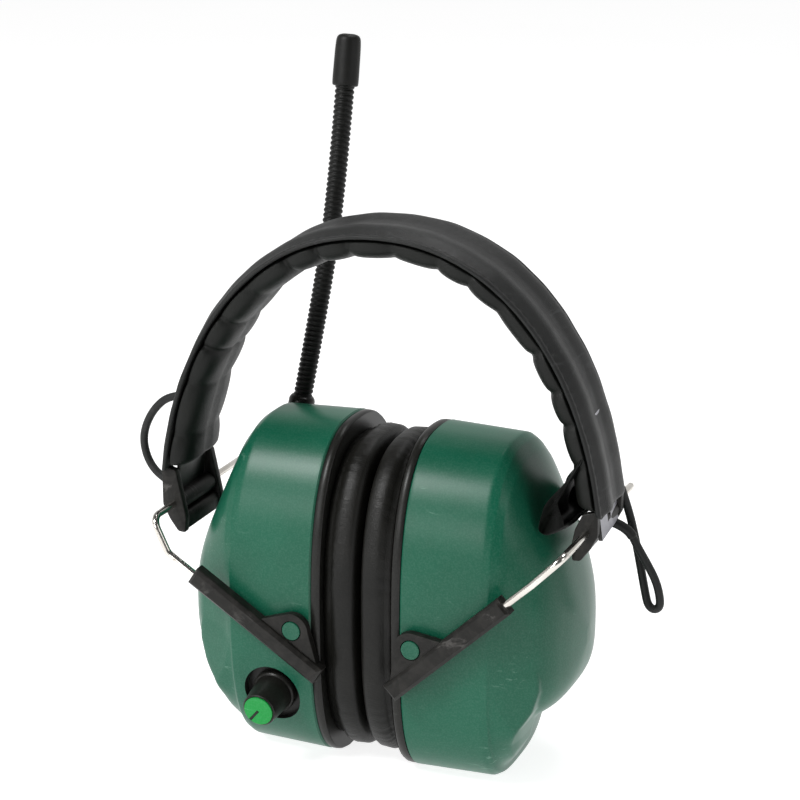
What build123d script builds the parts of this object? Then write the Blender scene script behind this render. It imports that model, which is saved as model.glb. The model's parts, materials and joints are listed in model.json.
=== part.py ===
"""Radio earmuff hearing protector, standing on its two cups.

Row frame: +X across from the left cup to the right cup, -Y to the front, +Z up.
The origin is on the surface the cups stand on, midway between them. Millimetres.
"""
import os
from math import atan2, cos, pi, radians, sin, tan

from build123d import *

# cup outline: a superellipse in the Y-Z plane
CUP_HALF_DEPTH = 34.2
CUP_HALF_HEIGHT = 57.0
CUP_POWER = 2.49
FOOT_TRIM = 1.2
CUP_CENTRE_Z = CUP_HALF_HEIGHT - FOOT_TRIM
OUTLINE_POINTS = 24
TRIM_SIZE = 120.0
TRIM_DEPTH = 10.0
# how far cutting solids run past the part they cut
CUT_OVERRUN = 1.0
CUT_REACH = 40.0
# widest miss when edges are picked by position
PICK_TOLERANCE = 0.01

# stations of one cup, measured outwards from the middle plane
RIM_X = 15.3
CREASE_X = 44.0
WALL = 2.6
# each dome station: x, lowest z, highest z, half depth
DOME_STATIONS = [
    (46.8, 5.0, 108.0, 30.8),
    (52.5, 15.5, 95.5, 26.0),
    (59.0, 24.0, 81.0, 19.5),
    (64.5, 30.0, 66.0, 12.5),
    (67.5, 35.5, 54.0, 6.5),
]
CREASE_SHRINK = 0.7
CREASE_DEPTH_SHRINK = 1.2
DOME_WALL_SHARE = 0.8

# sealing ring and cushion
PLATE_FACE_X = 12.0
PLATE_LIP = 2.6
PLATE_GAP = 0.15
PLATE_LIP_WALL = 2.0
CUSHION_GAP = 0.25
CUSHION_BASE_X = 9.7
CUSHION_HALF_DEPTH = 33.4
CUSHION_HALF_HEIGHT = 52.6
CUSHION_BASE_INSET = 2.2
EAR_HALF_DEPTH = 18.0
EAR_HALF_HEIGHT = 33.0
PLATE_OPENING_SHRINK = 1.2

# pivot pins of the cups and the arms that carry them
PIN_X = 20.4
PIN_Z = 50.0
PIN_RADIUS = 3.3
PIN_CLEARANCE = 0.08
PIN_ROOT_Y = 31.8
PIN_FACE_Y = 38.0
ARM_INNER_Y = 35.2
ARM_THICKNESS = 4.6
WEB_THICKNESS = 2.6
ARM_TAIL = -15.4
ARM_SOCKET = 36.4
ARM_WIDTH = 6.2
ARM_OFFSET = 6.6
ARM_CHAMFER = 1.1
LOBE_RADIUS = 5.7
LOBE_FEET = (-13.0, 10.5)
LOBE_SINK = 0.5
LOBE_SHOULDER = (0.8, 0.6)
WIRE_RADIUS = 1.2
WIRE_DEPTH = 8.0
WIRE_STRAIGHT = 11.0
WIRE_BEND = 4.0

# headband: outer surface is a superellipse in the X-Z plane
BAND_HALF_SPAN = 75.0
BAND_RISE = 104.3
BAND_POWER = 2.14
BAND_SPRING_Z = 71.8
BAND_HALF_WIDTH = 16.6
COVER_END_Z = 93.3
COVER_THICKNESS = 3.0
PAD_START = 5.4
PAD_THICKNESS = 4.4
PAD_HALF_WIDTH = 15.6
SPRING_START = 3.3
SPRING_THICKNESS = 1.2
SPRING_HALF_WIDTH = 9.0
SPRING_END_Z = 121.0
BAND_POINTS = 14
# the headband stands turned a little about the right hinge, as its left bracket has slid along the wire
BAND_TURN = 3.9

# end bracket and slide plate
HINGE_X = 69.0
BRACKET_OUTER_X = 76.2
BRACKET_INNER_X = 65.6
BRACKET_BACK = 5.6
BRACKET_HALF_WIDTH = 14.0
FLANGE = 2.6
POCKET_FLOOR = 2.4
BRACKET_DROP = 9.6
BRACKET_RISE = 5.6
BARREL_RADIUS = 3.2
BARREL_INSET = 1.0
# bevels of the bracket's side view, as (across, up) from the corner named
BRACKET_TOE = (4.4, 8.4)
BRACKET_HEEL = (1.8, 2.0)
BRACKET_BROW = (3.8, 3.6)
BRACKET_CORNER = 1.5
HINGE_CLEARANCE = 0.06
SLIDE_TILT = 8.0
PLATE_THICKNESS = 1.2
PLATE_HALF_WIDTH = 11.0
PLATE_UP = 16.0
PLATE_DOWN = 3.0
SLOT_WIDTH = 4.0
SLOT_SHARE = 0.5
SLOT_LIFT = 0.1

# per side: -1 left, +1 right
SIDES = {
    "left": {"sign": -1, "hinge_z": 81.4, "arm_angle": 33.0, "plate_x": 70.1},
    "right": {"sign": 1, "hinge_z": 87.2, "arm_angle": 43.0, "plate_x": 69.45},
}

# volume control, low on the front of the left cup
KNOB_X = -30.2
KNOB_Z = 24.6
KNOB_SEAT_Y = -28.4
KNOB_TILT = 8.0
RECESS_RADIUS = 9.3
RECESS_WALL = 1.8
RECESS_FLOOR = 3.0
RECESS_RISE = 1.2
KNOB_SKIRT_RADIUS = 7.3
KNOB_SKIRT_HEIGHT = 2.2
KNOB_TOP_RADIUS = 5.6
KNOB_HEIGHT = 13.4
KNOB_LIFT = 0.6
KNOB_STEP = 0.7
CAP_RADIUS = 4.9
CAP_HEIGHT = 1.4
CAP_SUNK = 0.98
POINTER_TURN = 230.0
POINTER_WIDTH = 0.9
POINTER_START = 2.4
SHAFT_RADIUS = 3.0
SHAFT_CLEARANCE = 0.08
SHAFT_TOP = 9.0
POT_RADIUS = 6.5
POT_DEPTH = 7.0

# antenna on top of the left cup
ANTENNA_ROUTE = [(-40.0, 19.0, 106.5), (-38.2, 25.6, 148.0), (-35.0, 32.4, 185.0), (-33.0, 39.05, 224.5)]
ANTENNA_RADIUS = 2.9
ANTENNA_TIP_RADIUS = 3.9
ANTENNA_TIP_LENGTH = 17.0
ANTENNA_BEND = 150.0
ANTENNA_TIP_OVERRUN = 4.0
ANTENNA_TIP_ROUND = 1.2
COLLAR_RADIUS = 4.4
COLLAR_HEIGHT = 3.4

# leads
LEAD_RADIUS = 1.35
LEAD_ROUTES = {
    "left_lead": [(-70.4, -5.5, 113.4), (-78.0, -5.6, 113.0), (-85.6, -4.9, 106.4), (-90.1, -4.0, 97.0),
                  (-88.7, -3.9, 88.4), (-83.4, -4.4, 82.8), (-76.8, -4.7, 80.4)],
    "right_lead": [(71.2, 16.0, 92.9), (73.5, 16.8, 86.0), (76.3, 15.9, 77.0), (79.1, 13.9, 67.4),
                   (81.4, 12.5, 58.8), (82.4, 12.0, 56.0), (84.2, 11.9, 54.6), (86.2, 11.8, 55.6),
                   (86.5, 11.7, 58.4), (85.1, 11.5, 64.4), (81.9, 11.1, 70.4), (78.5, 10.7, 76.0),
                   (76.3, 10.3, 80.6)],
}
# share of the shorter run beside a corner that its arc takes up
LEAD_ARC_SHARE = 0.45

# inner parts
FOAM_X = (17.6, 21.0)
FOAM_HALF = (20.0, 36.0)
SPEAKER_X = (21.5, 28.5)
SPEAKER_RADIUS = 14.5
BOARD_X = (31.0, 32.6)
BOARD_SIZE = (36.0, 46.0)
BOARD_Z = 66.0
BATTERY_RADIUS = 5.25
BATTERY_LENGTH = 44.5
BATTERY_X = 38.5
BATTERY_PITCH = 11.4
HOLDER_WALL = 1.2
SCREW_RADIUS = 1.4
SCREW_HEAD_RADIUS = 2.6
SCREW_LENGTH = 6.0
SCREW_HEAD_HEIGHT = 1.4
SCREW_SPOTS = [(-22.0, 20.0), (22.0, 20.0), (-22.0, 92.0), (22.0, 92.0)]


def save(shape, name):
    """Write one sub-part as its own STEP file."""
    export_step(shape, f"parts/{name}.step")
    print(f"{name:24s} {shape.volume:10.1f} mm3")


def outline(x, low, high, half_depth, power=CUP_POWER):
    """Closed superellipse wire in the plane of constant x."""
    middle = (low + high) / 2
    half_height = (high - low) / 2
    points = []
    for step in range(OUTLINE_POINTS):
        turn = 2 * pi * step / OUTLINE_POINTS
        c, s = cos(turn), sin(turn)
        y = half_depth * abs(c) ** (2 / power) * (1 if c >= 0 else -1)
        z = half_height * abs(s) ** (2 / power) * (1 if s >= 0 else -1)
        points.append((x, y, middle + z))
    return Wire([Edge.make_spline([Vector(*p) for p in points], periodic=True)])


def centred(x, half_depth, half_height):
    """Outline about the middle of the cup."""
    return outline(x, CUP_CENTRE_Z - half_height, CUP_CENTRE_Z + half_height, half_depth)


def ring_between(x_low, x_high, outer, inner):
    """Flat ring between two outlines, each given as (half depth, half height)."""
    solid = loft_wires([centred(x_low, *outer), centred(x_high, *outer)])
    if inner:
        ends = (x_low - CUT_OVERRUN, x_high + CUT_OVERRUN)
        solid = solid - loft_wires([centred(x, *inner) for x in ends])
    return solid


def loft_wires(wires):
    """Ruled solid through closed wires."""
    return Solid.make_loft(wires, ruled=True)


def cylinder_between(start, end, radius):
    """Round bar from one point to another."""
    a, b = Vector(*start), Vector(*end)
    plane = Plane(origin=a, z_dir=b - a)
    return Solid.make_cylinder(radius, (b - a).length, plane)


def below_floor():
    """Block of everything under the surface the cups stand on."""
    return Pos(CREASE_X, 0, -TRIM_DEPTH / 2) * Box(TRIM_SIZE, TRIM_SIZE, TRIM_DEPTH)


def placed(solid, sign):
    """A part drawn for the right side, put on its own side."""
    return solid if sign > 0 else solid.mirror(Plane.YZ)


def with_band(solid):
    """A headband part, turned with the headband about the right hinge."""
    return Pos(HINGE_X, 0, 0) * Rot(0, 0, BAND_TURN) * Pos(-HINGE_X, 0, 0) * solid


def cup_envelope(inset):
    """Closed outer form of a right cup, or its hollow when inset is the wall."""
    start = RIM_X if inset == 0 else RIM_X - CUT_OVERRUN
    high = CUP_HALF_HEIGHT - inset
    wires = [centred(start, CUP_HALF_DEPTH - inset, high)]
    crease_depth = CUP_HALF_DEPTH - CREASE_DEPTH_SHRINK - inset
    wires.append(centred(CREASE_X - inset / 2, crease_depth, high - CREASE_SHRINK))
    for x, low, top, half_depth in DOME_STATIONS:
        side_wall = inset * DOME_WALL_SHARE
        wires.append(outline(x - inset, low + side_wall, top - inset, half_depth - side_wall))
    return loft_wires(wires)


def make_shell():
    """Hollow right cup shell with the two pivot pins and the flat foot."""
    envelope = cup_envelope(0)
    shell = envelope - cup_envelope(WALL)
    for side in (-1, 1):
        shell = shell + cylinder_between((PIN_X, side * PIN_ROOT_Y, PIN_Z), (PIN_X, side * PIN_FACE_Y, PIN_Z),
                                         PIN_RADIUS)
    return shell - below_floor()


def make_back_plate():
    """Black ring that closes the shell and carries the cushion."""
    outer = (CUP_HALF_DEPTH, CUP_HALF_HEIGHT)
    inner = (EAR_HALF_DEPTH - PLATE_OPENING_SHRINK, EAR_HALF_HEIGHT - PLATE_OPENING_SHRINK)
    face = ring_between(PLATE_FACE_X, RIM_X, outer, inner)
    lip_out = (outer[0] - WALL - PLATE_GAP, outer[1] - WALL - PLATE_GAP)
    lip_in = (lip_out[0] - PLATE_LIP_WALL, lip_out[1] - PLATE_LIP_WALL)
    lip = ring_between(RIM_X, RIM_X + PLATE_LIP, lip_out, lip_in)
    return face + lip - below_floor()


def make_cushion():
    """Sealing cushion: a fat ring on a narrower base."""
    inner = (EAR_HALF_DEPTH, EAR_HALF_HEIGHT)
    outer = (CUSHION_HALF_DEPTH, CUSHION_HALF_HEIGHT)
    base = (CUSHION_HALF_DEPTH - CUSHION_BASE_INSET, CUSHION_HALF_HEIGHT - CUSHION_BASE_INSET)
    fat = ring_between(CUSHION_GAP, CUSHION_BASE_X, outer, inner)
    thin = ring_between(CUSHION_BASE_X, PLATE_FACE_X, base, inner)
    return fat + thin


def arm_point(side, along_arm, across_arm, y):
    """Point in the row frame from arm coordinates, for a right-hand part."""
    angle = radians(SIDES[side]["arm_angle"])
    x = PIN_X + along_arm * cos(angle) - across_arm * sin(angle)
    z = PIN_Z + along_arm * sin(angle) + across_arm * cos(angle)
    return x, y, z


def make_arm(side, front, wire):
    """Arm: bevelled bar with a lobe round the pivot pin and a socket for the wire."""
    outward = -1 if front else 1
    inner_y = outward * ARM_INNER_Y
    outer_y = outward * (ARM_INNER_Y + ARM_THICKNESS)
    web_y = outward * (ARM_INNER_Y + WEB_THICKNESS)

    def prism(corners, y_a, y_b):
        face = Face(Wire.make_polygon([Vector(*arm_point(side, u, v, y_a)) for u, v in corners]))
        return extrude(face, amount=abs(y_b - y_a), dir=(0, outward, 0))

    half = ARM_WIDTH / 2
    low, high = -ARM_OFFSET - half, -ARM_OFFSET + half
    bar = prism([(ARM_TAIL, low), (ARM_SOCKET, low), (ARM_SOCKET, high), (ARM_TAIL, high)], inner_y, outer_y)
    outer_edges = [e for e in bar.edges() if abs(e.center().Y - outer_y) < PICK_TOLERANCE]
    bar = chamfer(outer_edges, ARM_CHAMFER)
    foot = high - LOBE_SINK
    shoulder_u, shoulder_v = LOBE_RADIUS * LOBE_SHOULDER[0], LOBE_RADIUS * LOBE_SHOULDER[1]
    lobe = prism([(LOBE_FEET[0], foot), (LOBE_FEET[1], foot), (shoulder_u, shoulder_v), (-shoulder_u, shoulder_v)],
                 inner_y, web_y)
    eye = cylinder_between((PIN_X, inner_y, PIN_Z), (PIN_X, web_y, PIN_Z), LOBE_RADIUS)
    hole = cylinder_between((PIN_X, inner_y - outward, PIN_Z), (PIN_X, outer_y, PIN_Z), PIN_RADIUS + PIN_CLEARANCE)
    return bar + lobe + eye - hole - wire


def make_wire(side):
    """Spring-steel yoke wire from socket to socket through the bracket."""
    mid_y = ARM_INNER_Y + ARM_THICKNESS / 2
    hinge = (HINGE_X, SIDES[side]["hinge_z"])
    half = []
    for along_arm in (ARM_SOCKET - WIRE_DEPTH, ARM_SOCKET + WIRE_STRAIGHT):
        x, _, z = arm_point(side, along_arm, -ARM_OFFSET, 0)
        half.append((x, z))
    points = [(x, -mid_y, z) for x, z in half]
    points += [(hinge[0], -mid_y, hinge[1]), (hinge[0], mid_y, hinge[1])]
    points += [(x, mid_y, z) for x, z in reversed(half)]
    path = FilletPolyline(*points, radius=WIRE_BEND)
    start = Vector(*points[0])
    section = Plane(origin=start, z_dir=Vector(*points[1]) - start) * Circle(WIRE_RADIUS)
    return sweep(section, path=path)


def band_x(z, offset):
    """Half span of the headband surface at height z, offset inwards."""
    span, rise = BAND_HALF_SPAN - offset, BAND_RISE - offset
    ratio = max(0.0, (z - BAND_SPRING_Z) / rise)
    return span * (1 - min(1.0, ratio ** BAND_POWER)) ** (1 / BAND_POWER)


def band_curve(offset, end_z):
    """Points of the right half of the headband from its end up to the crown."""
    span, rise = BAND_HALF_SPAN - offset, BAND_RISE - offset
    start = (end_z - BAND_SPRING_Z) / rise
    first = atan2(start ** (BAND_POWER / 2), (1 - start ** BAND_POWER) ** 0.5)
    points = []
    for step in range(BAND_POINTS):
        turn = first + (pi / 2 - first) * step / (BAND_POINTS - 1)
        x = span * max(0.0, cos(turn)) ** (2 / BAND_POWER)
        z = BAND_SPRING_Z + rise * sin(turn) ** (2 / BAND_POWER)
        points.append((x, z))
    points[-1] = (0.0, BAND_SPRING_Z + rise)
    return points


def make_band_layer(start, thickness, half_width, end_z):
    """Right half of one layer of the headband, from the crown to its end."""
    outer = [Vector(x, -half_width, z) for x, z in band_curve(start, end_z)]
    inner = [Vector(x, -half_width, z) for x, z in band_curve(start + thickness, end_z)]
    edges = [
        Edge.make_spline(outer),
        Edge.make_line(outer[-1], inner[-1]),
        Edge.make_spline(list(reversed(inner))),
        Edge.make_line(inner[0], outer[0]),
    ]
    return extrude(Face(Wire(edges)), amount=2 * half_width, dir=(0, 1, 0))


def slide_frame(side):
    """Frame of the slide plate: Z runs up the plate, X outwards."""
    start = (SIDES[side]["plate_x"], 0, SIDES[side]["hinge_z"] + BRACKET_RISE)
    c, s = cos(radians(SLIDE_TILT)), sin(radians(SLIDE_TILT))
    return Plane(origin=start, x_dir=(c, 0, s), z_dir=(-s, 0, c))


def make_slide_plate(side):
    """Steel plate that runs inside the cover."""
    length = PLATE_UP + PLATE_DOWN
    plate = Box(PLATE_THICKNESS, 2 * PLATE_HALF_WIDTH, length)
    slot = Box(PLATE_THICKNESS * 3, SLOT_WIDTH, length * SLOT_SHARE)
    plate = Pos(0, 0, (PLATE_UP - PLATE_DOWN) / 2) * (plate - Pos(0, 0, length * SLOT_LIFT) * slot)
    return slide_frame(side) * plate


def make_bracket(side):
    """End bracket: a channel open towards the head, with a barrel for the wire."""
    hinge_z = SIDES[side]["hinge_z"]
    low, high = hinge_z - BRACKET_DROP, hinge_z + BRACKET_RISE
    middle_x = (BRACKET_INNER_X + BRACKET_OUTER_X) / 2
    size_x = BRACKET_OUTER_X - BRACKET_INNER_X
    side_view = [
        (BRACKET_INNER_X, low + BRACKET_HEEL[1]),
        (BRACKET_INNER_X + BRACKET_HEEL[0], low),
        (BRACKET_OUTER_X - BRACKET_TOE[0], low),
        (BRACKET_OUTER_X, low + BRACKET_TOE[1]),
        (BRACKET_OUTER_X, high),
        (BRACKET_INNER_X + BRACKET_BROW[0], high),
        (BRACKET_INNER_X, high - BRACKET_BROW[1]),
    ]
    face = Face(Wire.make_polygon([Vector(x, -BRACKET_HALF_WIDTH, z) for x, z in side_view]))
    block = extrude(face, amount=2 * BRACKET_HALF_WIDTH, dir=(0, 1, 0))
    ends = [e for e in block.edges() if abs(abs(e.center().Y) - BRACKET_HALF_WIDTH) < PICK_TOLERANCE]
    low_ends = [e for e in ends if e.center().Z < low + BRACKET_TOE[1]]
    block = chamfer(low_ends, BRACKET_CORNER)
    pocket = Box(size_x, 2 * (BRACKET_HALF_WIDTH - FLANGE), high - low)
    pocket = Pos(middle_x - BRACKET_BACK, 0, (low + high) / 2 + POCKET_FLOOR) * pocket
    reach = BRACKET_HALF_WIDTH - BARREL_INSET
    barrel = cylinder_between((HINGE_X, -reach, hinge_z), (HINGE_X, reach, hinge_z), BARREL_RADIUS)
    hole_radius = WIRE_RADIUS + HINGE_CLEARANCE
    hole = cylinder_between((HINGE_X, -CUT_REACH, hinge_z), (HINGE_X, CUT_REACH, hinge_z), hole_radius)
    return block - pocket + barrel - hole


def knob_axis_point(distance):
    """Point on the knob's axis, distance outwards from its seat."""
    tilt = radians(KNOB_TILT)
    return KNOB_X, KNOB_SEAT_Y - distance * cos(tilt), KNOB_Z - distance * sin(tilt)


def knob_plane(distance):
    """Plane across the knob's axis, facing outwards."""
    tilt = radians(KNOB_TILT)
    return Plane(origin=knob_axis_point(distance), x_dir=(1, 0, 0), z_dir=(0, -cos(tilt), -sin(tilt)))


def make_knob():
    """Tapered knob with a skirt and a seat for its cap."""
    skirt = knob_bar(KNOB_LIFT, KNOB_LIFT + KNOB_SKIRT_HEIGHT, KNOB_SKIRT_RADIUS)
    rise = KNOB_HEIGHT - KNOB_SKIRT_HEIGHT
    taper = Pos(0, 0, rise / 2) * Cone(KNOB_SKIRT_RADIUS - KNOB_STEP, KNOB_TOP_RADIUS, rise)
    body = knob_plane(KNOB_LIFT + KNOB_SKIRT_HEIGHT) * taper
    top = KNOB_LIFT + KNOB_HEIGHT
    seat = knob_bar(top - CAP_SUNK, top + CUT_OVERRUN, CAP_RADIUS)
    bore = knob_bar(-CUT_OVERRUN, SHAFT_TOP, SHAFT_RADIUS)
    return skirt + body - seat - bore


def make_knob_cap():
    """Coloured cap with a pointer slot, which rests at the lowest setting."""
    base = KNOB_LIFT + KNOB_HEIGHT - CAP_SUNK
    disc = knob_bar(base, base + CAP_HEIGHT, CAP_RADIUS)
    pointer = Pos(POINTER_START, 0, CAP_HEIGHT) * Box(CAP_RADIUS, POINTER_WIDTH, POINTER_WIDTH)
    return disc - knob_plane(base) * (Rot(0, 0, POINTER_TURN) * pointer)


def make_antenna():
    """Whip, tip and collar of the antenna."""
    points = [Vector(*p) for p in ANTENNA_ROUTE]
    path = FilletPolyline(*points, radius=ANTENNA_BEND)
    whip = sweep(Plane(origin=points[0], z_dir=points[1] - points[0]) * Circle(ANTENNA_RADIUS), path=path)
    end_dir = (points[-1] - points[-2]).normalized()
    tip_end = points[-1] + end_dir * ANTENNA_TIP_OVERRUN
    tip = cylinder_between(tuple(tip_end - end_dir * ANTENNA_TIP_LENGTH), tuple(tip_end), ANTENNA_TIP_RADIUS)
    tip = fillet(tip.edges(), ANTENNA_TIP_ROUND) - whip
    start_dir = (points[1] - points[0]).normalized()
    collar = cylinder_between(tuple(points[0]), tuple(points[0] + start_dir * COLLAR_HEIGHT), COLLAR_RADIUS)
    return whip, tip, collar - whip


def make_lead(name):
    """Round lead along straight runs joined by tangent arcs."""
    points = [Vector(*p) for p in LEAD_ROUTES[name]]
    radii = []
    for before, corner, after in zip(points, points[1:], points[2:]):
        turn = radians((corner - before).get_angle(after - corner))
        shorter = min((corner - before).length, (after - corner).length)
        radii.append(LEAD_ARC_SHARE * shorter / tan(turn / 2))
    path = FilletPolyline(*points, radius=radii)
    tube = sweep(Plane(origin=points[0], z_dir=points[1] - points[0]) * Circle(LEAD_RADIUS), path=path)
    length = sum(e.length for e in path.edges())
    print(name, "radii", [round(r, 1) for r in radii], "length", round(length, 1),
          "volume ratio", round(tube.volume / (pi * LEAD_RADIUS ** 2 * length), 4))
    return tube


def make_screws():
    """Four screws that hold the back plate of a right cup."""
    group = None
    for y, z in SCREW_SPOTS:
        shank = cylinder_between((RIM_X, y, z), (RIM_X + SCREW_LENGTH, y, z), SCREW_RADIUS)
        head = cylinder_between((RIM_X - SCREW_HEAD_HEIGHT, y, z), (RIM_X, y, z), SCREW_HEAD_RADIUS)
        screw = shank + head
        group = screw if group is None else group + screw
    return group


def make_battery_holder(batteries):
    """Open tray that holds the two cells side by side."""
    depth = 2 * BATTERY_RADIUS + HOLDER_WALL
    width = BATTERY_PITCH + 2 * BATTERY_RADIUS + 2 * HOLDER_WALL
    length = BATTERY_LENGTH + 2 * HOLDER_WALL
    tray = Pos(BATTERY_X + HOLDER_WALL / 2, 0, CUP_CENTRE_Z) * Box(depth, width, length)
    room = Pos(BATTERY_X - HOLDER_WALL / 2, 0, CUP_CENTRE_Z) * Box(depth, width - 2 * HOLDER_WALL, BATTERY_LENGTH)
    return tray - room - batteries


def build_side(side):
    """Everything that both sides have."""
    sign = SIDES[side]["sign"]
    wire = make_wire(side)
    save(placed(wire, sign), f"{side}_yoke_wire")
    for front in (True, False):
        place = "front" if front else "rear"
        save(placed(make_arm(side, front, wire), sign), f"{side}_{place}_arm")
    plate = with_band(placed(make_slide_plate(side), sign))
    save(plate, f"{side}_slide_plate")
    slid = 0 if sign > 0 else -2 * HINGE_X * sin(radians(BAND_TURN))
    save(Pos(0, slid, 0) * placed(make_bracket(side), sign) - plate, f"{side}_end_bracket")
    layers = {
        "band_cover": (0, COVER_THICKNESS, BAND_HALF_WIDTH, COVER_END_Z),
        "spring_band": (SPRING_START, SPRING_THICKNESS, SPRING_HALF_WIDTH, SPRING_END_Z),
        "headband_pad": (PAD_START, PAD_THICKNESS, PAD_HALF_WIDTH, COVER_END_Z),
    }
    for name, sizes in layers.items():
        save(with_band(placed(make_band_layer(*sizes), sign)), f"{name}_{side}")
    screws = make_screws()
    save(placed(screws, sign), f"{side}_plate_screws")
    save(placed(make_back_plate() - screws, sign), f"{side}_back_plate")
    save(placed(make_cushion(), sign), f"{side}_cushion")
    save(placed(ring_between(*FOAM_X, FOAM_HALF, None), sign), f"{side}_foam_liner")
    speaker = cylinder_between((SPEAKER_X[0], 0, CUP_CENTRE_Z), (SPEAKER_X[1], 0, CUP_CENTRE_Z), SPEAKER_RADIUS)
    save(placed(speaker, sign), f"{side}_speaker")
    save(make_lead(f"{side}_lead"), f"{side}_lead")


def build_right_cup():
    """Right shell and the battery tray in it."""
    save(make_shell(), "right_shell")
    cells = None
    for across in (-BATTERY_PITCH / 2, BATTERY_PITCH / 2):
        low = (BATTERY_X, across, CUP_CENTRE_Z - BATTERY_LENGTH / 2)
        cell = cylinder_between(low, (low[0], low[1], low[2] + BATTERY_LENGTH), BATTERY_RADIUS)
        cells = cell if cells is None else cells + cell
    save(cells, "batteries")
    save(make_battery_holder(cells), "battery_holder")


def knob_bar(start, end, radius):
    """Round bar along the knob's axis, between two distances outwards from its seat."""
    return cylinder_between(knob_axis_point(start), knob_axis_point(end), radius)


def build_left_cup():
    """Left shell with the volume control, the board and the antenna."""
    well = knob_bar(-RECESS_FLOOR, RECESS_RISE, RECESS_RADIUS + RECESS_WALL)
    recess = knob_bar(0, CUT_REACH / 2, RECESS_RADIUS)
    shaft = knob_bar(CUT_OVERRUN - RECESS_FLOOR - POT_DEPTH, SHAFT_TOP, SHAFT_RADIUS)
    shaft_hole = knob_bar(-CUT_REACH, CUT_REACH / 2, SHAFT_RADIUS + SHAFT_CLEARANCE)
    floor_hole = knob_bar(-RECESS_FLOOR - CUT_OVERRUN, CUT_OVERRUN, SHAFT_RADIUS + SHAFT_CLEARANCE)
    whip, tip, collar = make_antenna()
    shell = placed(make_shell(), -1) + well - recess - floor_hole
    save(shell - whip - collar, "left_shell")
    pot = knob_bar(-RECESS_FLOOR - POT_DEPTH, -RECESS_FLOOR, POT_RADIUS)
    save(pot - shaft_hole, "volume_control")
    save(shaft, "volume_shaft")
    save(make_knob(), "volume_knob")
    save(make_knob_cap(), "knob_cap")
    board = Pos(-(BOARD_X[0] + BOARD_X[1]) / 2, 0, BOARD_Z) * Box(BOARD_X[1] - BOARD_X[0], *BOARD_SIZE)
    save(board, "circuit_board")
    save(whip, "antenna_whip")
    save(tip, "antenna_tip")
    save(collar, "antenna_collar")


os.makedirs("parts", exist_ok=True)
for side_name in SIDES:
    build_side(side_name)
build_left_cup()
build_right_cup()
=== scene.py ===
import json
import math

import bmesh
import bpy
import numpy as np
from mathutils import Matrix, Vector


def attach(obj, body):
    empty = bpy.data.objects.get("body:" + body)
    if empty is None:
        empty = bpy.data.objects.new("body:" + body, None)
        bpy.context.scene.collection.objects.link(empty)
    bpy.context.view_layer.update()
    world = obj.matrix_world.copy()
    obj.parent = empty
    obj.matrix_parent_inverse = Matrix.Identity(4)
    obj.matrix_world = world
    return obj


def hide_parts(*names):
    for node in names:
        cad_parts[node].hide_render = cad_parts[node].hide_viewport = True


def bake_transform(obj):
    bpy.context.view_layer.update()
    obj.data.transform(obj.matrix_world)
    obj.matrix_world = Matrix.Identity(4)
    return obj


# Radio earmuff hearing protector. Metres.
# +X goes from the left cup to the right cup, -Y is the front, +Z is up.

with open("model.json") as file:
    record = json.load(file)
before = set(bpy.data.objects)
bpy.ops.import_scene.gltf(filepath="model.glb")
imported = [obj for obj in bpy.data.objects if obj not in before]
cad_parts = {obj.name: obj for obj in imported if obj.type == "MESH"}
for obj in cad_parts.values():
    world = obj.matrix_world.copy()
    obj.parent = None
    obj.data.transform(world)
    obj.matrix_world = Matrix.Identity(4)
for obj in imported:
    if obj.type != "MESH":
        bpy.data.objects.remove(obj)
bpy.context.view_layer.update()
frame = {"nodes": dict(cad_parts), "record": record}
nodes = frame["nodes"]
sides = {"left": -1, "right": 1}
rng = np.random.default_rng(7)

view = {"place": (0.26241, -0.63970, 0.33163), "down": 17.138, "turn": 22.18, "lens": 101.68}

leads = {
    # route control points from the headband to the bracket
    "left": [(-0.0704, -0.0055, 0.1134), (-0.078, -0.0056, 0.113), (-0.0856, -0.0049, 0.1064),
             (-0.0901, -0.004, 0.097), (-0.0887, -0.0039, 0.0884), (-0.0834, -0.0044, 0.0828),
             (-0.0768, -0.0047, 0.0804)],
    "right": [(0.0712, 0.016, 0.0929), (0.0735, 0.0168, 0.086), (0.0763, 0.0159, 0.077),
              (0.0791, 0.0139, 0.0674), (0.0814, 0.0125, 0.0588), (0.0824, 0.012, 0.056),
              (0.0842, 0.0119, 0.0546), (0.0862, 0.0118, 0.0556), (0.0865, 0.0117, 0.0584),
              (0.0851, 0.0115, 0.0644), (0.0819, 0.0111, 0.0704), (0.0785, 0.0107, 0.076),
              (0.0763, 0.0103, 0.0806)],
    "length": {"left": 0.0513, "right": 0.0708}, "width": 0.0027,
    # where each lead's boot ends inside the bracket
    "boot": {"left": (-0.0695, -0.0052, 0.0766), "right": (0.0696, 0.0092, 0.0838)}, "bootRadius": 0.0016,
    "bootBack": 0.0022, "bootAhead": 0.0018,
}

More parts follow.
